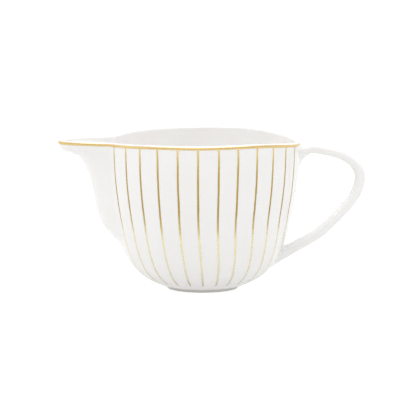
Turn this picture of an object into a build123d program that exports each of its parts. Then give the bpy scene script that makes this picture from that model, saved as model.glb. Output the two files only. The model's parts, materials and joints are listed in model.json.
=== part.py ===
from build123d import *
from math import cos, pi, radians, sin
import os

os.makedirs("parts", exist_ok=True)

# Porcelain cream jug.  Millimetres, +Z up, +X towards the handle, spout towards -X.
# The origin is the middle of the foot, on the plane the jug stands on.

# ---- bowl ----
MOUTH_RADIUS = 48.0
RIM_HEIGHT = 75.4
SHOULDER_RADIUS = 47.2
SHOULDER_HEIGHT = 57.0
BELLY_RADIUS = 44.6
BELLY_HEIGHT = 38.5
HAUNCH_RADIUS = 39.3
HAUNCH_HEIGHT = 19.7
HEEL_RADIUS = 34.3
HEEL_HEIGHT = 11.0
SOLE_RADIUS = 24.3
SOLE_HEIGHT = 3.6
UNDERSIDE_RADIUS = 17.4
UNDERSIDE_HEIGHT = 1.0
WALL = 2.6
FLOOR_THICKNESS = 3.2
LIP_ROUND = 0.6
LIP_BAND = 8.0       # edges nearer the rim than this belong to its lip
RIM_DIP_HANDLE = 2.8
RIM_DIP_SPOUT = 1.8
RIM_DIP_TIP = 2.4
RIM_DIP_FLANK = 0.8
RIM_FLANK_SHARE = 0.75   # how far out, in mouth radii, the rim has dipped by the flank's dip

# ---- foot ring ----
FOOT_RADIUS = 17.4
FOOT_RING_WIDTH = 3.4
FOOT_ROUND = 0.5

# ---- spout: its ridge; OUT from the belly or mouth radius, DROP below the rim ----
SPOUT_ROOT_HEIGHT = 22.5
SPOUT_HALF_ANGLE = 22.5
SPOUT_BREAST_OUT = 2.2
SPOUT_BREAST_HEIGHT = 28.6
SPOUT_THROAT_OUT = 6.5
SPOUT_THROAT_HEIGHT = 36.5
SPOUT_NECK_OUT = 5.7
SPOUT_NECK_DROP = 27.0
SPOUT_CHIN_OUT = 9.6
SPOUT_CHIN_DROP = 14.5
SPOUT_BEAK_OUT = 14.9
SPOUT_BEAK_DROP = 8.7
SPOUT_UNDERLIP_OUT = 21.4
SPOUT_UNDERLIP_DROP = 6.1
SPOUT_TIP_OUT = 22.9
SPOUT_LIP_THICKNESS = 2.4
SPOUT_LIP_LEAN = 0.5     # how far the channel's end leans out above the rim
SPOUT_SECTIONS = 12
LINE_STEPS = 10          # points taken along each outline
FLOOR_STEPS = 2          # of these, how many the flat floor replaces
LIP_STEPS = 3            # and how many the spout's lip replaces

# ---- handle: OUT from the mouth or haunch radius, DROP below the rim ----
HANDLE_UPPER_DROP = 12.5
HANDLE_TOP_OUT = 9.0
HANDLE_TOP_DROP = 7.1
HANDLE_SHOULDER_OUT = 22.2
HANDLE_SHOULDER_DROP = 10.0
HANDLE_OUTER_OUT = 29.7
HANDLE_OUTER_HEIGHT = 54.5
HANDLE_WAIST_OUT = 31.9
HANDLE_WAIST_HEIGHT = 40.2
HANDLE_TAIL_OUT = 20.0
HANDLE_TAIL_HEIGHT = 28.2
HANDLE_LOWER_OUT = 0.2
HANDLE_LOWER_HEIGHT = 14.9
HANDLE_WIDTH = 8.6
HANDLE_THICKNESS = 5.6
HANDLE_UPPER_ROOT = 18.0
HANDLE_LOWER_ROOT = 10.0
HANDLE_ROOT_WIDTH = 10.5
HANDLE_UPPER_SPREAD = 14.0
HANDLE_LOWER_SPREAD = 16.0
ROOT_SINK = 4.0          # how far each root starts inside the wall before it is cut flush
HANDLE_SECTIONS = 16

# ---- gilding ----
GILD_THICKNESS = 0.12
RIM_LINE_DEPTH = 1.1
STRIPE_WIDTH = 0.9
STRIPE_FIRST_AZIMUTH = 6.0
STRIPE_PITCH = 12.0
STRIPES_PER_QUARTER = 6
STRIPE_FOOT_HEIGHT = 4.4
GILD_JOINT = 0.02

STAND = (Align.CENTER, Align.CENTER, Align.MIN)
SEAM_AZIMUTH = 150.0  # where the turned surfaces begin and end, clear of spout, handle and stripes
TRIM_SPARE = 2.0     # extra height left on the walls before the rim is cut
SKY = 40.0           # how far the cutting bodies reach past the jug


def wall_line():
    """Outer outline of the bowl, from the foot to just past the rim."""
    return Spline(
        (UNDERSIDE_RADIUS, UNDERSIDE_HEIGHT),
        (SOLE_RADIUS, SOLE_HEIGHT),
        (HEEL_RADIUS, HEEL_HEIGHT),
        (HAUNCH_RADIUS, HAUNCH_HEIGHT),
        (BELLY_RADIUS, BELLY_HEIGHT),
        (SHOULDER_RADIUS, SHOULDER_HEIGHT),
        (MOUTH_RADIUS, RIM_HEIGHT + TRIM_SPARE),
    )


def inset(line, share, depth):
    """Point at a depth inside a drawn line, measured square to it."""
    point = line @ share
    direction = line % share
    return (point.X - direction.Y * depth, point.Y + direction.X * depth)


def hollow_line():
    """Outline of the bowl's inside, from the edge of its flat floor to past the rim."""
    line = wall_line()
    floor = (UNDERSIDE_RADIUS, UNDERSIDE_HEIGHT + FLOOR_THICKNESS)
    steps = range(FLOOR_STEPS, LINE_STEPS + 1)
    points = [inset(line, step / LINE_STEPS, WALL) for step in steps]
    return Spline(floor, *points)


def share_at_height(line, height):
    """Where along a rising line it reaches a height."""
    low, high = 0.0, 1.0
    for _ in range(30):
        middle = (low + high) / 2
        if (line @ middle).Y < height:
            low = middle
        else:
            high = middle
    return middle


def spun(line):
    """Solid of revolution between a line and the jug's axis."""
    top = line @ 1
    base = line @ 0
    outline = line + Polyline((top.X, top.Y), (0, top.Y), (0, base.Y), (base.X, base.Y))
    return Rot(0, 0, SEAM_AZIMUTH) * revolve(Plane.XZ * make_face(outline), Axis.Z)


def grown_wall_line(grow):
    """The bowl's outer outline moved outwards by grow."""
    line = wall_line()
    return Spline(*[inset(line, step / LINE_STEPS, -grow) for step in range(LINE_STEPS + 1)])


def above_rim(drop=0.0):
    """Everything above the rim, which dips to the spout and to the handle."""
    top = RIM_HEIGHT - drop
    flank = MOUTH_RADIUS * RIM_FLANK_SHARE
    crest = Spline(
        (-MOUTH_RADIUS - SPOUT_TIP_OUT - TRIM_SPARE, top - RIM_DIP_TIP),
        (-MOUTH_RADIUS, top - RIM_DIP_SPOUT),
        (-flank, top - RIM_DIP_FLANK),
        (0, top),
        (flank, top - RIM_DIP_FLANK),
        (MOUTH_RADIUS, top - RIM_DIP_HANDLE),
    )
    left = crest @ 0
    right = crest @ 1
    far = MOUTH_RADIUS + SKY
    outline = crest + Polyline(
        (right.X, right.Y),
        (far, right.Y),
        (far, RIM_HEIGHT + SKY),
        (-far, RIM_HEIGHT + SKY),
        (-far, left.Y),
        (left.X, left.Y),
    )
    return extrude(Plane.XZ * make_face(outline), amount=far, both=True)


def spout_wedge():
    """The sector of the bowl wall that the spout takes the place of."""
    reach = MOUTH_RADIUS + SKY
    side = radians(SPOUT_HALF_ANGLE)
    corner = (-reach * cos(side), reach * sin(side))
    sector = make_face(Polyline((0, 0), corner, (corner[0], -corner[1]), close=True))
    return extrude(Plane.XY.offset(SPOUT_ROOT_HEIGHT) * sector, amount=RIM_HEIGHT + SKY)


def ridge_line(root_radius):
    """Outline of the spout seen from the side, from its root to past the tip."""
    tip_reach = MOUTH_RADIUS + SPOUT_TIP_OUT
    tip_height = RIM_HEIGHT - RIM_DIP_TIP
    return Spline(
        (root_radius, SPOUT_ROOT_HEIGHT),
        (BELLY_RADIUS + SPOUT_BREAST_OUT, SPOUT_BREAST_HEIGHT),
        (BELLY_RADIUS + SPOUT_THROAT_OUT, SPOUT_THROAT_HEIGHT),
        (MOUTH_RADIUS + SPOUT_NECK_OUT, RIM_HEIGHT - SPOUT_NECK_DROP),
        (MOUTH_RADIUS + SPOUT_CHIN_OUT, RIM_HEIGHT - SPOUT_CHIN_DROP),
        (MOUTH_RADIUS + SPOUT_BEAK_OUT, RIM_HEIGHT - SPOUT_BEAK_DROP),
        (MOUTH_RADIUS + SPOUT_UNDERLIP_OUT, RIM_HEIGHT - SPOUT_UNDERLIP_DROP),
        (tip_reach, tip_height),
        (tip_reach, RIM_HEIGHT + TRIM_SPARE),
    )


def channel_line(ridge, root_radius):
    """Bottom of the pouring channel, a wall inside the ridge until the lip."""
    last = LINE_STEPS + 1 - LIP_STEPS
    points = [inset(ridge, step / LINE_STEPS, WALL) for step in range(1, last)]
    lip = MOUTH_RADIUS + SPOUT_TIP_OUT - SPOUT_LIP_THICKNESS
    return Spline(
        (root_radius, SPOUT_ROOT_HEIGHT),
        *points,
        (lip, RIM_HEIGHT - RIM_DIP_TIP),
        (lip + SPOUT_LIP_LEAN, RIM_HEIGHT + TRIM_SPARE),
    )


def blend(plain, drawn, start, share, part):
    """Point between the plain wall and the drawn-out spout, part of the way across."""
    wall = plain @ (start + (1 - start) * share)
    nose = drawn @ share
    return (wall.X + (nose.X - wall.X) * part, wall.Y + (nose.Y - wall.Y) * part)


def radial_plane(angle):
    """Upright plane through the jug's axis, turned off the spout's middle."""
    radial = Vector(-cos(radians(angle)), sin(radians(angle)), 0)
    return Plane(origin=(0, 0, 0), x_dir=radial, z_dir=radial.cross(Vector(0, 0, 1)))


def spout_section(part, angle, lines):
    """One upright slice through the spout wall."""
    wall, hollow, ridge, channel = lines
    wall_start = share_at_height(wall, SPOUT_ROOT_HEIGHT)
    hollow_start = share_at_height(hollow, SPOUT_ROOT_HEIGHT)
    shares = [step / LINE_STEPS for step in range(LINE_STEPS + 1)]
    outside = [blend(wall, ridge, wall_start, share, part) for share in shares]
    inside = [blend(hollow, channel, hollow_start, share, part) for share in shares]
    outer = Spline(*outside)
    inner = Spline(*inside)
    outline = outer + Line(outside[-1], inside[-1]) + inner + Line(inside[0], outside[0])
    return radial_plane(angle) * make_face(outline)


def gilt_section(part, angle, lines):
    """One upright slice through the gilt skin lying on the spout."""
    wall, _, ridge, _ = lines
    start = share_at_height(wall, SPOUT_ROOT_HEIGHT)
    shares = [step / LINE_STEPS for step in range(LINE_STEPS + 1)]
    under = Spline(*[blend(wall, ridge, start, share, part) for share in shares])
    over = Spline(*[inset(under, share, -GILD_THICKNESS) for share in shares])
    outline = under + Line(under @ 1, over @ 1) + over + Line(over @ 0, under @ 0)
    return radial_plane(angle) * make_face(outline)


def spout_lines():
    """The four outlines every slice of the spout is blended from."""
    wall = wall_line()
    hollow = hollow_line()
    outer_root = (wall @ share_at_height(wall, SPOUT_ROOT_HEIGHT)).X
    inner_root = (hollow @ share_at_height(hollow, SPOUT_ROOT_HEIGHT)).X
    ridge = ridge_line(outer_root)
    return wall, hollow, ridge, channel_line(ridge, inner_root)


def spout_shell(slice_of_wall):
    """Loft across the spout, from slices that swell from the plain wall to the ridge."""
    lines = spout_lines()
    slices = []
    for step in range(SPOUT_SECTIONS + 1):
        across = 2 * step / SPOUT_SECTIONS - 1
        part = cos(pi / 2 * across) ** 2
        slices.append(slice_of_wall(part, across * SPOUT_HALF_ANGLE, lines))
    return loft(slices)


def spout():
    """Pulled spout, standing in the gap left in the bowl wall."""
    return round_lip(spout_shell(spout_section) - above_rim())


def round_lip(piece):
    """Round over the inside and outside corners of a cut rim."""
    lip = piece.edges().filter_by(lambda edge: edge.center().Z > RIM_HEIGHT - LIP_BAND)
    return fillet(lip.filter_by(lambda edge: edge.length > 2 * WALL), LIP_ROUND)


def bowl():
    """Thrown bowl with the spout's gap cut from its wall."""
    body = spun(wall_line()) - spun(hollow_line()) - above_rim()
    return round_lip(body) - spout_wedge()


def foot_ring():
    """Turned ring the jug stands on."""
    ring = Cylinder(FOOT_RADIUS, UNDERSIDE_HEIGHT, align=STAND)
    ring -= Cylinder(FOOT_RADIUS - FOOT_RING_WIDTH, UNDERSIDE_HEIGHT, align=STAND)
    return chamfer(ring.edges().group_by(Axis.Z)[0], FOOT_ROUND)


def handle():
    """Ear-shaped strap whose ends spread out where they meet the bowl."""
    path = Spline(
        (MOUTH_RADIUS - ROOT_SINK, 0, RIM_HEIGHT - HANDLE_UPPER_DROP),
        (MOUTH_RADIUS + HANDLE_TOP_OUT, 0, RIM_HEIGHT - HANDLE_TOP_DROP),
        (MOUTH_RADIUS + HANDLE_SHOULDER_OUT, 0, RIM_HEIGHT - HANDLE_SHOULDER_DROP),
        (MOUTH_RADIUS + HANDLE_OUTER_OUT, 0, HANDLE_OUTER_HEIGHT),
        (HAUNCH_RADIUS + HANDLE_WAIST_OUT, 0, HANDLE_WAIST_HEIGHT),
        (HAUNCH_RADIUS + HANDLE_TAIL_OUT, 0, HANDLE_TAIL_HEIGHT),
        (HAUNCH_RADIUS + HANDLE_LOWER_OUT - ROOT_SINK, 0, HANDLE_LOWER_HEIGHT),
    )
    slices = []
    for step in range(HANDLE_SECTIONS + 1):
        share = step / HANDLE_SECTIONS
        upper = max(0.0, 1 - share * path.length / HANDLE_UPPER_SPREAD) ** 2
        lower = max(0.0, 1 - (1 - share) * path.length / HANDLE_LOWER_SPREAD) ** 2
        thickness = HANDLE_THICKNESS
        thickness += (HANDLE_UPPER_ROOT - HANDLE_THICKNESS) * upper
        thickness += (HANDLE_LOWER_ROOT - HANDLE_THICKNESS) * lower
        width = HANDLE_WIDTH + (HANDLE_ROOT_WIDTH - HANDLE_WIDTH) * max(upper, lower)
        place = Plane(origin=path @ share, x_dir=(0, 1, 0), z_dir=path % share)
        slices.append(place * Ellipse(width / 2, thickness / 2))
    return loft(slices) - spun(wall_line())



def gilt_bowl_skin():
    """Thin skin lying on the outside of the bowl, to be cut into lines."""
    return spun(grown_wall_line(GILD_THICKNESS)) - spun(wall_line())


def rim_gold_line():
    """Gilt line round the outside of the rim and along the spout's lip."""
    band = above_rim(LIP_ROUND + RIM_LINE_DEPTH) - above_rim(LIP_ROUND)
    around_bowl = (gilt_bowl_skin() - spout_wedge()) & band
    along_spout = spout_shell(gilt_section) & band
    return around_bowl + along_spout - handle()


def gold_stripe(skin, azimuth):
    """Gilt stripe down the bowl, from just under the rim line to above the foot."""
    reach = MOUTH_RADIUS + SKY
    height = RIM_HEIGHT + SKY
    strip = Box(STRIPE_WIDTH, reach, height, align=(Align.CENTER, Align.MAX, Align.MIN))
    strip = skin & (Pos(0, 0, STRIPE_FOOT_HEIGHT) * strip)
    strip = Rot(0, 0, azimuth) * strip
    return strip - above_rim(LIP_ROUND + RIM_LINE_DEPTH + GILD_JOINT)


def save(node, piece):
    """Write one sub-part as its own STEP file."""
    piece.label = node
    export_step(piece, f"parts/{node}.step")


save("bowl", bowl())
save("spout", spout())
save("handle", handle())
save("foot_ring", foot_ring())
save("rim_gold_line", rim_gold_line())

skin = gilt_bowl_skin()
number = 0
for side in (0, 180):
    for place in range(2 * STRIPES_PER_QUARTER):
        number += 1
        azimuth = side + STRIPE_FIRST_AZIMUTH + STRIPE_PITCH * (place - STRIPES_PER_QUARTER)
        save(f"gold_stripe_{number:02d}", gold_stripe(skin, azimuth))
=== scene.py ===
# %% [markdown]
# # A porcelain cream jug
# The jug is a deep, thin-walled bowl with a pinched spout, an ear-shaped handle, a low foot,
# a gold line round its rim and thin gold stripes down its sides. The engineering model gives
# the sizes. These cells make the surfaces a potter and a gilder would leave on it.

# %% Open the frame
import json
import math

import bmesh
import bpy
import numpy as np
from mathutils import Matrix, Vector, noise

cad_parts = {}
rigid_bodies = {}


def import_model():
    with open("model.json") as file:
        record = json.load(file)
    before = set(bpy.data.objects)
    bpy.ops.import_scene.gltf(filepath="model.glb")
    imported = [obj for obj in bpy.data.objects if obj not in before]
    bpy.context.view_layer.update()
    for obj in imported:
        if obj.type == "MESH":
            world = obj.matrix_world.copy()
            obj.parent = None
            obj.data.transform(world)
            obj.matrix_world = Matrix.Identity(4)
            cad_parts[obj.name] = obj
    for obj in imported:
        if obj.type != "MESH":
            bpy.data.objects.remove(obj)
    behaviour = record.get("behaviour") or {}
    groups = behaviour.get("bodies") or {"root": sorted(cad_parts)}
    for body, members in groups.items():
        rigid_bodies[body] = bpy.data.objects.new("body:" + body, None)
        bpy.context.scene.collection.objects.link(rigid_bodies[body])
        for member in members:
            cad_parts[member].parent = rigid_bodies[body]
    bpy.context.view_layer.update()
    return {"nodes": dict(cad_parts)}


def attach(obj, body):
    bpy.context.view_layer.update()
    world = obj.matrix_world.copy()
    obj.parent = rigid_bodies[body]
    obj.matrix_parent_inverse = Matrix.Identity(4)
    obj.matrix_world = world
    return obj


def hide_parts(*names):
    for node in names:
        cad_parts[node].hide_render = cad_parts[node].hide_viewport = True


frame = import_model()
MM = 0.001
print("pieces in the frame:", len(frame["nodes"]))

# %% [markdown]
# ## The lines of the jug
# A potter draws a jug as a few lines seen from the side. Each line here is a handful of points
# (distance from the jug's axis, height) in millimetres, joined by a smooth curve. A Bezier curve
# object could hold them too, but plain points are easier to measure along.

# %% Smooth lines through a few points
LINE_STEPS = 1200


def smooth_line(points, steps=LINE_STEPS):
    """Evenly spaced points on a natural cubic curve through the drawn points."""
    drawn = np.array(points, float)
    gaps = np.linalg.norm(np.diff(drawn, axis=0), axis=1)
    knots = np.concatenate([[0.0], np.cumsum(gaps)])
    count = len(drawn)
    system = np.eye(count)
    bends = np.zeros_like(drawn)
    for i in range(1, count - 1):
        system[i, i - 1:i + 2] = gaps[i - 1], 2 * (gaps[i - 1] + gaps[i]), gaps[i]
        slopes = np.diff(drawn[i - 1:i + 2], axis=0) / gaps[i - 1:i + 1, None]
        bends[i] = 6 * (slopes[1] - slopes[0])
    bends = np.linalg.solve(system, bends)
    where = np.linspace(0, knots[-1], steps * 2)
    left = np.clip(np.searchsorted(knots, where) - 1, 0, count - 2)
    gap = gaps[left][:, None]
    a = (knots[left + 1] - where)[:, None]
    b = (where - knots[left])[:, None]
    curve = (bends[left] * a**3 + bends[left + 1] * b**3) / (6 * gap)
    curve += (drawn[left] / gap - bends[left] * gap / 6) * a
    curve += (drawn[left + 1] / gap - bends[left + 1] * gap / 6) * b
    walked = np.concatenate([[0], np.cumsum(np.linalg.norm(np.diff(curve, axis=0), axis=1))])
    even = np.linspace(0, walked[-1], steps)
    return np.stack([np.interp(even, walked, curve[:, k]) for k in range(drawn.shape[1])], 1)


def along(line, share):
    """Point a share of the way along a line."""
    place = np.clip(share, 0, 1) * (len(line) - 1)
    return np.array([np.interp(place, np.arange(len(line)), line[:, k])
                     for k in range(line.shape[1])])


def share_at(line, height):
    """How far along a rising line a height is reached."""
    return float(np.interp(height, line[:, 1], np.linspace(0, 1, len(line))))


def inset(line, depth):
    """The same line moved inwards, square to itself."""
    run = np.gradient(line, axis=0)
    run /= np.linalg.norm(run, axis=1)[:, None]
    return line + np.stack([-run[:, 1], run[:, 0]], 1) * depth


# %% The bowl, spout and rim sizes
RIM_HEIGHT = 75.25
WALL = 2.6
LIP_RADIUS = WALL / 2
MOUTH_RADIUS = 48.0
FLOOR_HEIGHT = 4.2
FLOOR_RADIUS = 15.0       # where the flat floor ends
FLOOR_CURVE = (20.0, 0.35)  # a point just outside it, and how far it has risen
FLOOR_BLEND = 1.6         # above this rise the hollow runs a wall inside the outline
HOLLOW_SKIP = 90          # the hollow is redrawn through every ninetieth point
SPOUT_ROOT = 22.5
SPOUT_HALF_ANGLE = math.radians(22.5)
SPOUT_TIP_REACH = 70.8

wall_line = smooth_line([
    (17.4, 1.0), (24.3, 3.6), (34.3, 11.0), (39.3, 19.7), (44.6, 38.5), (47.2, 57.0),
    (47.97, RIM_HEIGHT - LIP_RADIUS),
])
hollow_line = inset(wall_line, WALL)
hollow_line = hollow_line[hollow_line[:, 1] > FLOOR_HEIGHT + FLOOR_BLEND]
hollow_line = smooth_line([
    (FLOOR_RADIUS, FLOOR_HEIGHT), (FLOOR_CURVE[0], FLOOR_HEIGHT + FLOOR_CURVE[1]),
    *hollow_line[::HOLLOW_SKIP], hollow_line[-1],
])
print("bowl is", round(2 * wall_line[:, 0].max(), 1), "mm across")

# %% [markdown]
# ## Throwing the bowl
# On the real jug the bowl is turned or cast, so every level slice of it is a circle. The spin
# operator does the same: one outline of foot, wall, lip, inside and floor is swung round the axis.

# %% Spin the outline into a bowl
TURNS = 360


def spun_piece(outline):
    """Bmesh made by swinging an outline of (radius, height) points once round the axis.

    Every point remembers its row of the outline, so that later steps can pick out bands.
    """
    mesh = bmesh.new()
    row = mesh.verts.layers.int.new("row")
    points = []
    for number, (r, z) in enumerate(outline):
        points.append(mesh.verts.new((r * MM, 0, z * MM)))
        points[-1][row] = number
    edges = [mesh.edges.new(pair) for pair in zip(points, points[1:])]
    bmesh.ops.spin(mesh, geom=points + edges, cent=(0, 0, 0), axis=(0, 0, 1),
                   angle=2 * math.pi, steps=TURNS, use_merge=True, use_duplicate=False)
    bmesh.ops.remove_doubles(mesh, verts=mesh.verts, dist=1e-7)
    bmesh.ops.recalc_face_normals(mesh, faces=mesh.faces)
    return mesh


def lip_points(steps=14):
    """Round lip from the top of the outer wall over to the top of the inner wall."""
    outer, inner = wall_line[-1], hollow_line[-1]
    middle = (outer + inner) / 2
    half = (outer[0] - inner[0]) / 2
    turns = [math.pi * step / steps for step in range(1, steps)]
    return [(middle[0] + half * math.cos(t), middle[1] + LIP_RADIUS * math.sin(t))
            for t in turns]


UNDERSIDE = 1.6
WALL_ROWS = 60
WALL_ROWS_END = 0.93      # share of the wall that these rows cover
RIM_ROWS = 12             # closer rows above it, so that the gold line can end on one
RIM_ROWS_START = 0.94
under_points = [(0, UNDERSIDE), (6, UNDERSIDE), (13, UNDERSIDE), (16.2, 1.2)]
outer_shares = np.concatenate([np.linspace(0, WALL_ROWS_END, WALL_ROWS),
                               np.linspace(RIM_ROWS_START, 1, RIM_ROWS)])
inner_shares = np.linspace(1, 0, WALL_ROWS)
body_outline = under_points + [tuple(along(wall_line, share)) for share in outer_shares]
body_outline += lip_points()
body_outline += [tuple(along(hollow_line, share)) for share in inner_shares]
body_outline += [(10, FLOOR_HEIGHT), (5, FLOOR_HEIGHT), (0, FLOOR_HEIGHT)]
body = spun_piece(body_outline)
print("bowl faces:", len(body.faces))

# %% [markdown]
# ## Levelling the rim and pulling the spout
# The potter lets the rim fall a little towards the handle and the spout, then draws the wall out
# between two fingers. Both are soft moves of the finished bowl, so they are done here as moves of
# its points: each point in the spout's sector slides from the plain wall towards the ridge of the
# spout, fully in the middle and not at all at the sector's edges.

# %% Lower the rim at its ends
DIP_HANDLE = 2.8
DIP_SPOUT = 1.8
DIP_TIP = 2.4
DIP_FLANK = 0.8
FLANK = 36.0              # distance from the axis at which the rim has fallen by DIP_FLANK
rim_fall = smooth_line([
    (-SPOUT_TIP_REACH - 2, DIP_TIP), (-MOUTH_RADIUS, DIP_SPOUT), (-FLANK, DIP_FLANK), (0, 0),
    (FLANK, DIP_FLANK), (MOUTH_RADIUS, DIP_HANDLE),
])
DIP_START = 30.0          # below this height the wall isn't lowered at all


def rim_dip(x):
    """How far the rim has dropped at a distance along the jug, in millimetres."""
    return float(np.interp(x, rim_fall[:, 0], rim_fall[:, 1]))


def lowered(x, z):
    """Height after the rim's dip is shared out over the upper wall."""
    share = max(0.0, (z - DIP_START) / (RIM_HEIGHT - DIP_START))
    return z - rim_dip(x) * share**2


# %% Pull the spout
RIDGE_TIP_DROP = 0.4      # how far the ridge ends below the rim at the tip
CHANNEL_TIP_DROP = 0.3    # and how far the channel does
CHANNEL_BLEND = 3         # above this rise the channel runs a wall inside the ridge
CHANNEL_LIP = 61.0        # past this distance it thins into the pouring lip
CHANNEL_SKIP = 80         # the channel is redrawn through every eightieth point
ridge_line = smooth_line([
    (40.46, SPOUT_ROOT), (46.8, 28.6), (51.1, 36.5), (53.7, 48.4), (57.6, 60.9),
    (62.9, 66.7), (69.4, 69.3), (SPOUT_TIP_REACH, RIM_HEIGHT - DIP_TIP - RIDGE_TIP_DROP),
])
channel = inset(ridge_line, WALL)
channel = channel[(channel[:, 1] > SPOUT_ROOT + CHANNEL_BLEND) & (channel[:, 0] < CHANNEL_LIP)]
channel_line = smooth_line([
    (37.66, SPOUT_ROOT), *channel[::CHANNEL_SKIP], (64.4, 69.9),
    (68.4, RIM_HEIGHT - DIP_TIP - CHANNEL_TIP_DROP),
])


def spout_pull(r, z):
    """Where a point of the wall goes when it is in the middle of the spout."""
    plain = np.interp(z, wall_line[:, 1], wall_line[:, 0])
    bare = np.interp(z, hollow_line[:, 1], hollow_line[:, 0])
    outer_part = float(np.clip((r - bare) / (plain - bare), 0, 1))
    top = min(z, wall_line[-1][1])
    moves = []
    for line, drawn in ((wall_line, ridge_line), (hollow_line, channel_line)):
        root = share_at(line, SPOUT_ROOT)
        share = (share_at(line, top) - root) / (1 - root)
        moves.append(along(drawn, share) - along(line, share_at(line, top)))
    return moves[1] + (moves[0] - moves[1]) * outer_part


for vert in body.verts:
    x, y, z = (value / MM for value in vert.co)
    radius = math.hypot(x, y)
    off_middle = abs(math.atan2(y, -x))
    new_z = lowered(x, z)
    if off_middle < SPOUT_HALF_ANGLE and z > SPOUT_ROOT:
        part = math.cos(math.pi / 2 * off_middle / SPOUT_HALF_ANGLE) ** 2
        move = spout_pull(radius, z) * part
        new_z = z - (z - new_z) * (1 - part) + move[1]
        x *= (radius + move[0]) / radius
        y *= (radius + move[0]) / radius
    vert.co = (x * MM, y * MM, new_z * MM)

ROOT_SECTOR = 0.95        # share of the spout's sector whose root is wiped smooth
ROOT_BAND = 3.5           # how far above and below the root
ROOT_WIPES = 12
root_verts = [v for v in body.verts
              if abs(math.atan2(v.co.y, -v.co.x)) < SPOUT_HALF_ANGLE * ROOT_SECTOR
              and abs(v.co.z / MM - SPOUT_ROOT) < ROOT_BAND]
for _ in range(ROOT_WIPES):
    bmesh.ops.smooth_vert(body, verts=root_verts, factor=0.5,
                          use_axis_x=True, use_axis_y=True, use_axis_z=True)
print("spout reaches", round(-min(v.co.x for v in body.verts) / MM, 2), "mm")


# %% Turn a bmesh into a finished piece
def finished(mesh, name, *replaced):
    """Give a bmesh smooth faces and an object, in place of some pieces of the frame."""
    for face in mesh.faces:
        face.smooth = True
    data = bpy.data.meshes.new(name)
    mesh.to_mesh(data)
    piece = bpy.data.objects.new(name, data)
    bpy.context.scene.collection.objects.link(piece)
    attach(piece, "root")
    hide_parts(*replaced)
    print(name, "faces:", len(data.polygons))
    return piece


glazed_body = finished(body, "glazed_body", "bowl", "spout")

# %% [markdown]
# ## The foot ring
# The foot is a low ring turned on the wheel. Its corners are softened, and the edge it stands on
# is left without glaze. It is spun from its own closed outline.

# %% Spin the foot ring
foot_outline = [(13.9, 1.75), (14.0, 0.6), (14.3, 0.14), (14.7, 0.0), (16.6, 0.0), (17.1, 0.12),
                (17.4, 0.45), (17.55, 0.85), (17.9, 1.25), (17.0, 1.75), (13.9, 1.75)]
foot = spun_piece(foot_outline)
foot_ring = finished(foot, "turned_foot_ring", "foot_ring")

# %% [markdown]
# ## The handle
# The handle is a strap of clay bent like an ear. A circle of points is carried along its middle
# line, extruded a step at a time, and flattened into a soft oval. At each end the strap opens out
# and lies down on the bowl, as clay does when it is pressed on and wiped smooth with a finger.

# %% Middle line and section of the strap
HANDLE_WIDTH = 8.6
HANDLE_THICKNESS = 5.5
SECTION_POINTS = 48
SECTION_SQUARENESS = 2.4  # 2 gives an ellipse, more a squarer oval
LOOK_AHEAD = 0.002        # share of the line over which its direction is measured
handle_line = smooth_line([
    (46.0, 66.5), (52.0, 68.8), (58.0, 68.5), (64.0, 67.2), (69.8, 65.2), (74.6, 61.6),
    (77.3, 57.2), (77.5, 52.4), (75.6, 46.6), (70.9, 40.0), (64.4, 33.2), (57.4, 26.9),
    (49.5, 22.2), (40.5, 17.2),
])


def wall_radius(z):
    """Outside radius of the bowl at a height."""
    return float(np.interp(z, wall_line[:, 1], wall_line[:, 0]))


def section_point(turn, width, thickness):
    """Point of the strap's soft oval: (across, outwards from the middle line)."""
    across, outwards = math.cos(turn), math.sin(turn)
    power = 2 / SECTION_SQUARENESS
    return (math.copysign(abs(across) ** power, across) * width / 2,
            math.copysign(abs(outwards) ** power, outwards) * thickness / 2)


def strap_ring(share):
    """One section of the strap, in the jug's own axes and in millimetres."""
    x, z = along(handle_line, share)
    ahead = (along(handle_line, min(1, share + LOOK_AHEAD))
             - along(handle_line, max(0, share - LOOK_AHEAD)))
    ahead /= np.linalg.norm(ahead)
    outwards = (-ahead[1], ahead[0])
    ring = []
    for i in range(SECTION_POINTS):
        u, v = section_point(2 * math.pi * i / SECTION_POINTS, HANDLE_WIDTH, HANDLE_THICKNESS)
        ring.append(Vector((x + outwards[0] * v, u, z + outwards[1] * v)))
    return ring


# %% Ends that open out and lie down on the bowl
HAIR = 0.03               # how far inside the wall the ends finish
SEARCH_STEPS = 40
SEARCH_STRIDE = 0.6       # share of the gap that each step closes
FILLET_STEPS = 9
UPPER_ALL_ROUND, UPPER_DOWN, UPPER_SIDEWAYS, UPPER_POWER = 0.9, 12.0, 1.0, 1.5
LOWER_ALL_ROUND, LOWER_UP_DOWN, LOWER_SIDEWAYS = 1.8, 1.2, 0.8


def onto_bowl(point):
    """Nearest level point on the bowl's outer wall, a hair inside it."""
    radius = wall_radius(point.z) - HAIR
    flat = Vector((point.x, point.y, 0)).normalized() * radius
    return Vector((flat.x, flat.y, point.z))


def meets_bowl(point, direction):
    """Where a line through a point runs into the bowl."""
    for _ in range(SEARCH_STEPS):
        gap = math.hypot(point.x, point.y) - wall_radius(point.z)
        point = point + direction * gap * SEARCH_STRIDE
    return point


def root_rings(share, towards, spread_at):
    """Rings that open out from the strap at a share and lie down on the bowl."""
    ring = strap_ring(share)
    foot_points = [meets_bowl(point.copy(), towards) for point in ring]
    foot_centre = sum(foot_points, Vector()) / len(foot_points)
    rings = [[] for _ in range(FILLET_STEPS)]
    for point, touch in zip(ring, foot_points):
        away = (touch - foot_centre).normalized()
        spread = spread_at(away)
        landing = onto_bowl(touch + away * spread)
        for step in range(FILLET_STEPS):
            t = (step + 1) / FILLET_STEPS
            bend = point * (1 - t) ** 2 + touch * 2 * t * (1 - t) + landing * t**2
            rings[step].append(bend)
    return rings


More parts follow.
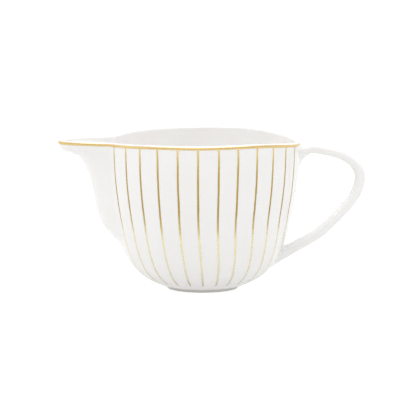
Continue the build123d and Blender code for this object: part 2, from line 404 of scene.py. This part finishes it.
def upper_spread(away):
    """The upper end opens most downwards, under the strap."""
    down = max(0.0, -away.z) ** UPPER_POWER
    return UPPER_ALL_ROUND + UPPER_DOWN * down + UPPER_SIDEWAYS * abs(away.y)


def lower_spread(away):
    """The lower end opens a little all round."""
    return LOWER_ALL_ROUND + LOWER_UP_DOWN * abs(away.z) + LOWER_SIDEWAYS * abs(away.y)


# %% Extrude the strap along its line
HANDLE_STEPS = 90
STRAP_START, STRAP_END = 0.085, 0.93   # share of the line that is plain strap
UPPER_INTO_WALL = Vector((-1, 0, -0.25)).normalized()
LOWER_INTO_WALL = Vector((-0.87, 0, -0.49)).normalized()
shares = np.linspace(STRAP_START, STRAP_END, HANDLE_STEPS)
upper_rings = root_rings(shares[0], UPPER_INTO_WALL, upper_spread)
lower_rings = root_rings(shares[-1], LOWER_INTO_WALL, lower_spread)
rings = upper_rings[::-1] + [strap_ring(share) for share in shares] + lower_rings

strap = bmesh.new()
start = bmesh.ops.create_circle(strap, cap_ends=False, radius=MM, segments=SECTION_POINTS)
ring_verts = start["verts"]
ring_edges = list(strap.edges)
for vert, place in zip(ring_verts, rings[0]):
    vert.co = place * MM
for ring in rings[1:]:
    grown = bmesh.ops.extrude_edge_only(strap, edges=ring_edges)["geom"]
    new_verts = [item for item in grown if isinstance(item, bmesh.types.BMVert)]
    ring_edges = [item for item in grown if isinstance(item, bmesh.types.BMEdge)
                  and all(v in new_verts for v in item.verts)]
    for vert, place in zip(new_verts, ring):
        vert.co = place * MM
bmesh.ops.holes_fill(strap, edges=[e for e in strap.edges if e.is_boundary], sides=0)
bmesh.ops.recalc_face_normals(strap, faces=strap.faces)
handle = finished(strap, "pulled_handle", "handle")

# %% [markdown]
# ## The gold
# Gold lustre is brushed over the fired glaze and fired again: a skin far thinner than a hair that
# follows the surface exactly. The rim line is therefore a copy of the lip's own faces, lifted a
# few hundredths of a millimetre and given a thickness. Each stripe is a fine grid wrapped on the
# wall. Its edges wander a little, as a brush does.

# %% Gild the rim
GOLD_LIFT = 0.035
GOLD_DEPTH = 0.07
ROWS_EACH_SIDE = 2        # rows of the outline that the rim line covers, below and above the lip
lip_row = len(under_points) + len(outer_shares)
rim_line_rows = (lip_row - ROWS_EACH_SIDE, lip_row + ROWS_EACH_SIDE)


def gilt(skin):
    """Lift an open skin off the glaze and give it the thickness of the gold."""
    skin.normal_update()
    for vert in skin.verts:
        vert.co += vert.normal * GOLD_LIFT * MM
    bmesh.ops.solidify(skin, geom=skin.faces[:], thickness=GOLD_DEPTH * MM)
    bmesh.ops.recalc_face_normals(skin, faces=skin.faces)
    return skin


def lifted_copy(mesh, rows):
    """Closed thin skin made from a band of a spun piece's own faces."""
    skin = mesh.copy()
    row = skin.verts.layers.int["row"]
    first, last = rows
    extra = [v for v in skin.verts if not first <= v[row] <= last]
    bmesh.ops.delete(skin, geom=extra, context="VERTS")
    return gilt(skin)


rim_gilding = finished(lifted_copy(body, rim_line_rows), "rim_gilding", "rim_gold_line")

# %% Brush the stripes
STRIPES_PER_SIDE = 12
STRIPE_PITCH = math.radians(12.0)
STRIPE_WIDTH = 0.92
STRIPE_ROWS = 150
STRIPE_COLUMNS = 6
STRIPE_LOW = 4.6
RIM_LINE_GAP = 0.45       # how far below the lip's start a stripe ends, under the rim line
STRIPE_TOP = RIM_HEIGHT - LIP_RADIUS - RIM_LINE_GAP
END_LENGTH = 0.5          # the foot end of a stripe is rounded over this length
END_NARROWEST = 0.05
LEAN_START = 40.0         # below this height a stripe leans towards the handle
LEAN_POWER = 1.5
LEAN = math.radians(4.4)
LEAN_SPREAD = 0.13        # extra lean, as a share of a stripe's angle from the middle
SET_OFF = math.radians(0.4)
UNEVEN = math.radians(1.4)
UNEVEN_STEP = 2.7         # how far apart two stripes read the noise that sets them off
WANDER = 0.10             # sideways drift of the brush, in millimetres
WANDER_STEP, WANDER_PACE = 7.3, 0.11
SWELL = 0.10              # change of width, as a share of it
SWELL_STEP, SWELL_PACE = 3.1, 0.23


def stripe_point(azimuth, lean, across, height, seed):
    """Point of a stripe lying on the wall, at a place across it and a height."""
    share = share_at(wall_line, height)
    r, z = along(wall_line, share)
    wander = noise.noise(Vector((seed * WANDER_STEP, height * WANDER_PACE, 0))) * WANDER
    swell = 1 + noise.noise(Vector((seed * SWELL_STEP, height * SWELL_PACE, 5))) * SWELL
    end = max(0.0, 1 - (height - STRIPE_LOW) / END_LENGTH)
    half = STRIPE_WIDTH / 2 * swell * math.sqrt(max(END_NARROWEST, 1 - end**2))
    low = max(0.0, 1 - height / LEAN_START) ** LEAN_POWER
    turn = azimuth + lean * low + (across * half + wander) / r
    x, y = r * math.sin(turn), -r * math.cos(turn)
    return Vector((x, y, lowered(x, z)))


def brushed_stripe(azimuth, lean, seed):
    """Closed thin stripe of gold, wrapped on the wall from a flat grid."""
    stripe = bmesh.new()
    bmesh.ops.create_grid(stripe, x_segments=STRIPE_COLUMNS, y_segments=STRIPE_ROWS, size=1.0)
    for vert in stripe.verts:
        height = STRIPE_LOW + (STRIPE_TOP - STRIPE_LOW) * (vert.co.y + 1) / 2
        vert.co = stripe_point(azimuth, lean, vert.co.x, height, seed) * MM
    bmesh.ops.recalc_face_normals(stripe, faces=stripe.faces)
    middle = stripe.faces[len(stripe.faces) // 2]
    if middle.normal.dot(middle.calc_center_median()) < 0:
        bmesh.ops.reverse_faces(stripe, faces=stripe.faces)
    return gilt(stripe)


number = 0
for side in (0, 180):
    for place in range(STRIPES_PER_SIDE):
        number += 1
        off_middle = STRIPE_PITCH * (place - (STRIPES_PER_SIDE - 1) / 2) + SET_OFF
        off_middle += UNEVEN * noise.noise(Vector((number * UNEVEN_STEP, 0, 9)))
        lean = LEAN + LEAN_SPREAD * off_middle
        name = f"gold_stripe_{number:02d}"
        stripe = finished(brushed_stripe(math.radians(side) + off_middle, lean, number),
                          f"brushed_{name}", name)

# %% [markdown]
# ## Porcelain
# Fired porcelain is white clay under a clear glass glaze. The clay sets the colour, faintly
# uneven, and lets a little light travel under the surface. The glaze is a second, very smooth
# layer over it: the coat of the Principled shader. Glaze is never optically flat, so a broad,
# shallow bump makes the reflections swim a little.

# %% Mix the porcelain
WHITE = (0.90, 0.895, 0.885, 1)
WARM_WHITE = (0.885, 0.875, 0.855, 1)
# Painted shade: both bare clay colours are darker than the glaze for the shade under the heel; the
# second is the deeper shade next to the table.
SHADED_CLAY = (0.66, 0.645, 0.61, 1)
DEEP_SHADED_CLAY = (0.50, 0.48, 0.44, 1)


def new_material(name):
    """Material with only a shader and its output, returned with its nodes and links."""
    made = bpy.data.materials.new(name)
    made.use_nodes = True
    nodes, links = made.node_tree.nodes, made.node_tree.links
    nodes.clear()
    out = nodes.new("ShaderNodeOutputMaterial")
    shader = nodes.new("ShaderNodeBsdfPrincipled")
    links.new(shader.outputs[0], out.inputs["Surface"])
    return made, nodes, links, shader


def noise_on(nodes, links, coords, scale, detail, roughness=0.5):
    """Noise on the jug's own coordinates."""
    made = nodes.new("ShaderNodeTexNoise")
    made.inputs["Scale"].default_value = scale
    made.inputs["Detail"].default_value = detail
    made.inputs["Roughness"].default_value = roughness
    links.new(coords, made.inputs["Vector"])
    return made.outputs["Fac"]


def ramp_on(nodes, links, value, stops):
    """Colour ramp over a value; stops are (place, colour)."""
    made = nodes.new("ShaderNodeValToRGB")
    ramp = made.color_ramp
    while len(ramp.elements) < len(stops):
        ramp.elements.new(0.5)
    for element, (place, colour) in zip(ramp.elements, stops):
        element.position = place
        element.color = colour
    links.new(value, made.inputs["Fac"])
    return made.outputs["Color"]


def height_on(nodes, links, coords, top):
    """Height on the jug, from 0 at the table to 1 at the given top."""
    split = nodes.new("ShaderNodeSeparateXYZ")
    links.new(coords, split.inputs[0])
    made = nodes.new("ShaderNodeMapRange")
    made.inputs["From Max"].default_value = top
    links.new(split.outputs["Z"], made.inputs["Value"])
    return made.outputs["Result"]


def bump_on(nodes, links, height, strength, distance, below=None):
    """Bump from a height, laid over another bump if one is given."""
    made = nodes.new("ShaderNodeBump")
    made.inputs["Strength"].default_value = strength
    made.inputs["Distance"].default_value = distance
    links.new(height, made.inputs["Height"])
    if below is not None:
        links.new(below, made.inputs["Normal"])
    return made.outputs["Normal"]


def grey(value):
    """A grey colour."""
    return (value, value, value, 1)


def glazed_porcelain():
    """White porcelain under a clear, slightly uneven glaze."""
    made, nodes, links, shader = new_material("glazed_porcelain")
    coords = nodes.new("ShaderNodeTexCoord").outputs["Object"]
    cloud = noise_on(nodes, links, coords, scale=55, detail=3)
    links.new(ramp_on(nodes, links, cloud, [(0.3, WARM_WHITE), (0.7, WHITE)]),
              shader.inputs["Base Color"])
    smear = noise_on(nodes, links, coords, scale=260, detail=4)
    links.new(ramp_on(nodes, links, smear, [(0.3, grey(0.14)), (0.75, grey(0.24))]),
              shader.inputs["Roughness"])
    wave = noise_on(nodes, links, coords, scale=90, detail=1)
    orange_peel = noise_on(nodes, links, coords, scale=700, detail=2)
    slow = bump_on(nodes, links, wave, strength=0.12, distance=1.2 * MM)
    fine = bump_on(nodes, links, orange_peel, strength=0.05, distance=0.25 * MM, below=slow)
    links.new(fine, shader.inputs["Normal"])
    links.new(fine, shader.inputs["Coat Normal"])
    shader.inputs["Subsurface Weight"].default_value = 0.12
    shader.inputs["Subsurface Radius"].default_value = (0.6, 0.45, 0.35)
    shader.inputs["Subsurface Scale"].default_value = 0.003
    shader.inputs["Coat Weight"].default_value = 0.8
    shader.inputs["Coat Roughness"].default_value = 0.03
    shader.inputs["Coat IOR"].default_value = 1.5
    return made


porcelain = glazed_porcelain()
for piece in (glazed_body, handle):
    piece.data.materials.append(porcelain)

# %% [markdown]
# ## The bare foot
# A foot must be wiped clean of glaze or it would fuse to the kiln shelf. What is left is matt,
# faintly sandy clay, a little creamier than the glaze. Its colour is partly painted shade: darker
# than the glaze for the shade under the heel, and darker still on its lowest edge, placed by
# height.

# %% Mix the bare clay
# Painted shade: below this height the clay darkens, next to the table.
TABLE_SHADE_HEIGHT = 0.5 * MM


def bare_clay_painted_shade():
    """Matt fired clay with painted shade: darker than the glaze, and darker still where it touches
    the table.
    """
    made, nodes, links, shader = new_material("bare_clay_painted_shade")
    coords = nodes.new("ShaderNodeTexCoord").outputs["Object"]
    blotch = noise_on(nodes, links, coords, scale=420, detail=4, roughness=0.65)
    # Painted shade by height, broken up by a fine blotchy noise.
    shade_by_height = nodes.new("ShaderNodeMath")
    shade_by_height.operation = "ADD"
    links.new(height_on(nodes, links, coords, TABLE_SHADE_HEIGHT), shade_by_height.inputs[0])
    links.new(blotch, shade_by_height.inputs[1])
    links.new(ramp_on(nodes, links, shade_by_height.outputs[0], [(0.45, DEEP_SHADED_CLAY), (0.8, SHADED_CLAY)]),
              shader.inputs["Base Color"])
    sand = noise_on(nodes, links, coords, scale=5200, detail=3)
    links.new(ramp_on(nodes, links, sand, [(0.3, grey(0.62)), (0.7, grey(0.8))]),
              shader.inputs["Roughness"])
    grain = bump_on(nodes, links, sand, strength=0.35, distance=0.05 * MM)
    links.new(grain, shader.inputs["Normal"])
    return made


foot_ring.data.materials.append(bare_clay_painted_shade())

# %% [markdown]
# ## Gold lustre
# Burnished lustre is real metal, so the shader is fully metallic and its colour is the colour of
# the reflection. One flat colour would do for foil, but here the colour follows the height as a
# painted reflection: pale straw towards the foot, deep brown on the shoulder, golden at the rim,
# with painted shade at the foot end. It is shifted a little by a slow noise, and fine brush marks
# make the gloss uneven.

# %% Mix the gold
GOLD_TOP = 75 * MM
REFLECTION_DRIFT = 0.12
# Painted reflection: the gold's colour by height, pale straw low down, deep brown on the shoulder,
# golden at the rim; the darker foot end is painted shade.
PAINTED_GOLD_REFLECTION = [
    (0.04, (0.60, 0.55, 0.44, 1)), (0.12, (0.84, 0.80, 0.58, 1)), (0.39, (0.84, 0.75, 0.46, 1)),
    (0.47, (0.58, 0.44, 0.17, 1)), (0.58, (0.42, 0.29, 0.07, 1)), (0.80, (0.52, 0.35, 0.08, 1)),
    (0.91, (0.66, 0.50, 0.16, 1)), (0.96, (0.84, 0.62, 0.28, 1)),
]


def gold_with_painted_reflection():
    """Burnished gold whose colour is a painted reflection by height: pale low down, deep brown on
    the shoulder.
    """
    made, nodes, links, shader = new_material("gold_with_painted_reflection")
    coords = nodes.new("ShaderNodeTexCoord").outputs["Object"]
    # A slow noise shifts the painted reflection bands up and down a little.
    reflection_wobble = noise_on(nodes, links, coords, scale=70, detail=2, roughness=0.4)
    drift = nodes.new("ShaderNodeMath")
    drift.operation = "MULTIPLY_ADD"
    links.new(reflection_wobble, drift.inputs[0])
    drift.inputs[1].default_value = REFLECTION_DRIFT
    links.new(height_on(nodes, links, coords, GOLD_TOP), drift.inputs[2])
    shift = nodes.new("ShaderNodeMath")
    shift.operation = "SUBTRACT"
    links.new(drift.outputs[0], shift.inputs[0])
    shift.inputs[1].default_value = REFLECTION_DRIFT / 2
    links.new(ramp_on(nodes, links, shift.outputs[0], PAINTED_GOLD_REFLECTION),
              shader.inputs["Base Color"])
    marks = noise_on(nodes, links, coords, scale=1500, detail=3)
    links.new(ramp_on(nodes, links, marks, [(0.3, grey(0.2)), (0.7, grey(0.34))]),
              shader.inputs["Roughness"])
    strokes = bump_on(nodes, links, marks, strength=0.10, distance=0.06 * MM)
    links.new(strokes, shader.inputs["Normal"])
    shader.inputs["Metallic"].default_value = 1.0
    return made


gold = gold_with_painted_reflection()
for piece in bpy.context.scene.objects:
    if piece.name.startswith("brushed_") or piece == rim_gilding:
        piece.data.materials.append(gold)

# %% [markdown]
# ## Table, light and camera
# A white table and an even white studio all round, with one broad lamp straight above and a faint
# one to the left. A few small lamps would give hard bright spots on the glaze; a real jug in a
# light tent has none. The tent is a little darker in front, on the camera's side.

# %% Table
TABLE_HALF_SIDE = 6
TABLE_GLOW = 0.5          # as the camera sees it
TABLE_BOUNCE = 0.48       # light it sends up on to the jug
TABLE_GREY = 0.42         # how much of the light from above it throws back
floor = bpy.data.meshes.new("table")
ground = bmesh.new()
bmesh.ops.create_grid(ground, x_segments=1, y_segments=1, size=TABLE_HALF_SIDE)
ground.to_mesh(floor)
table = bpy.data.objects.new("table", floor)
bpy.context.scene.collection.objects.link(table)
white_table, nodes, links, shader = new_material("white_table")
shader.inputs["Base Color"].default_value = grey(0.9)
shader.inputs["Roughness"].default_value = 0.9
shader.inputs["Emission Color"].default_value = grey(1.0)
shader.inputs["Emission Strength"].default_value = TABLE_GLOW
glow = nodes.new("ShaderNodeEmission")
glow.inputs["Strength"].default_value = TABLE_BOUNCE
unseen = nodes.new("ShaderNodeAddShader")
matt = nodes.new("ShaderNodeBsdfDiffuse")
matt.inputs["Color"].default_value = grey(TABLE_GREY)
links.new(matt.outputs[0], unseen.inputs[0])
links.new(glow.outputs[0], unseen.inputs[1])
seen_or_not = nodes.new("ShaderNodeMixShader")
links.new(nodes.new("ShaderNodeLightPath").outputs["Is Camera Ray"], seen_or_not.inputs["Fac"])
links.new(unseen.outputs[0], seen_or_not.inputs[1])
links.new(shader.outputs[0], seen_or_not.inputs[2])
links.new(seen_or_not.outputs[0], nodes["Material Output"].inputs["Surface"])
floor.materials.append(white_table)

# %% Studio light
TENT_BY_DEPTH = [(0.0, grey(0.60)), (0.35, grey(0.69)), (0.7, grey(0.98))]   # front to back
TENT_BY_HEIGHT = [(0.1, grey(0.0)), (0.7, grey(1.0))]   # how far it turns to full white
LAMP_AIM = Vector((0, 0, 0.04))
world = bpy.data.worlds.new("studio")
bpy.context.scene.world = world
world.use_nodes = True
nodes, links = world.node_tree.nodes, world.node_tree.links
sky = nodes["Background"]
sky.inputs["Strength"].default_value = 1.0
direction = nodes.new("ShaderNodeSeparateXYZ")
links.new(nodes.new("ShaderNodeTexCoord").outputs["Generated"], direction.inputs[0])
around = nodes.new("ShaderNodeMapRange")
around.inputs["From Min"].default_value = -1.0
links.new(direction.outputs["Y"], around.inputs["Value"])
walls = ramp_on(nodes, links, around.outputs["Result"], TENT_BY_DEPTH)
upward = ramp_on(nodes, links, direction.outputs["Z"], TENT_BY_HEIGHT)
tent = nodes.new("ShaderNodeMix")
tent.data_type = "RGBA"
links.new(upward, tent.inputs["Factor"])
links.new(walls, tent.inputs["A"])
tent.inputs["B"].default_value = grey(1.0)
backdrop = nodes.new("ShaderNodeMix")
backdrop.data_type = "RGBA"
links.new(nodes.new("ShaderNodeLightPath").outputs["Is Camera Ray"], backdrop.inputs["Factor"])
links.new(tent.outputs["Result"], backdrop.inputs["A"])
backdrop.inputs["B"].default_value = grey(1.0)
links.new(backdrop.outputs["Result"], sky.inputs["Color"])


def soft_lamp(name, place, size, power):
    """Square soft lamp aimed at the middle of the jug."""
    data = bpy.data.lights.new(name, "AREA")
    data.size = size
    data.energy = power
    lamp = bpy.data.objects.new(name, data)
    lamp.location = place
    lamp.rotation_euler = (LAMP_AIM - lamp.location).to_track_quat("-Z", "Y").to_euler()
    bpy.context.scene.collection.objects.link(lamp)


soft_lamp("overhead", Vector((0.0, 0.0, 0.9)), size=0.9, power=4.6)
soft_lamp("left", Vector((-0.9, 0.1, 0.5)), size=0.7, power=0.3)
bpy.context.scene.view_settings.view_transform = "Standard"

# %% Camera
LOOK_AT = Vector((3.7, 0, 38.5)) * MM
DISTANCE = 1500 * MM
AZIMUTH = math.radians(-3.0)
ELEVATION = math.radians(7.64)
FOCAL_LENGTH = 261.2
back = Vector((math.sin(AZIMUTH) * math.cos(ELEVATION), -math.cos(AZIMUTH) * math.cos(ELEVATION),
               math.sin(ELEVATION)))
lens = bpy.data.cameras.new("camera")
lens.lens = FOCAL_LENGTH
camera = bpy.data.objects.new("camera", lens)
camera.location = LOOK_AT + back * DISTANCE
camera.rotation_euler = (-back).to_track_quat("-Z", "Y").to_euler()
bpy.context.scene.collection.objects.link(camera)
bpy.context.scene.camera = camera
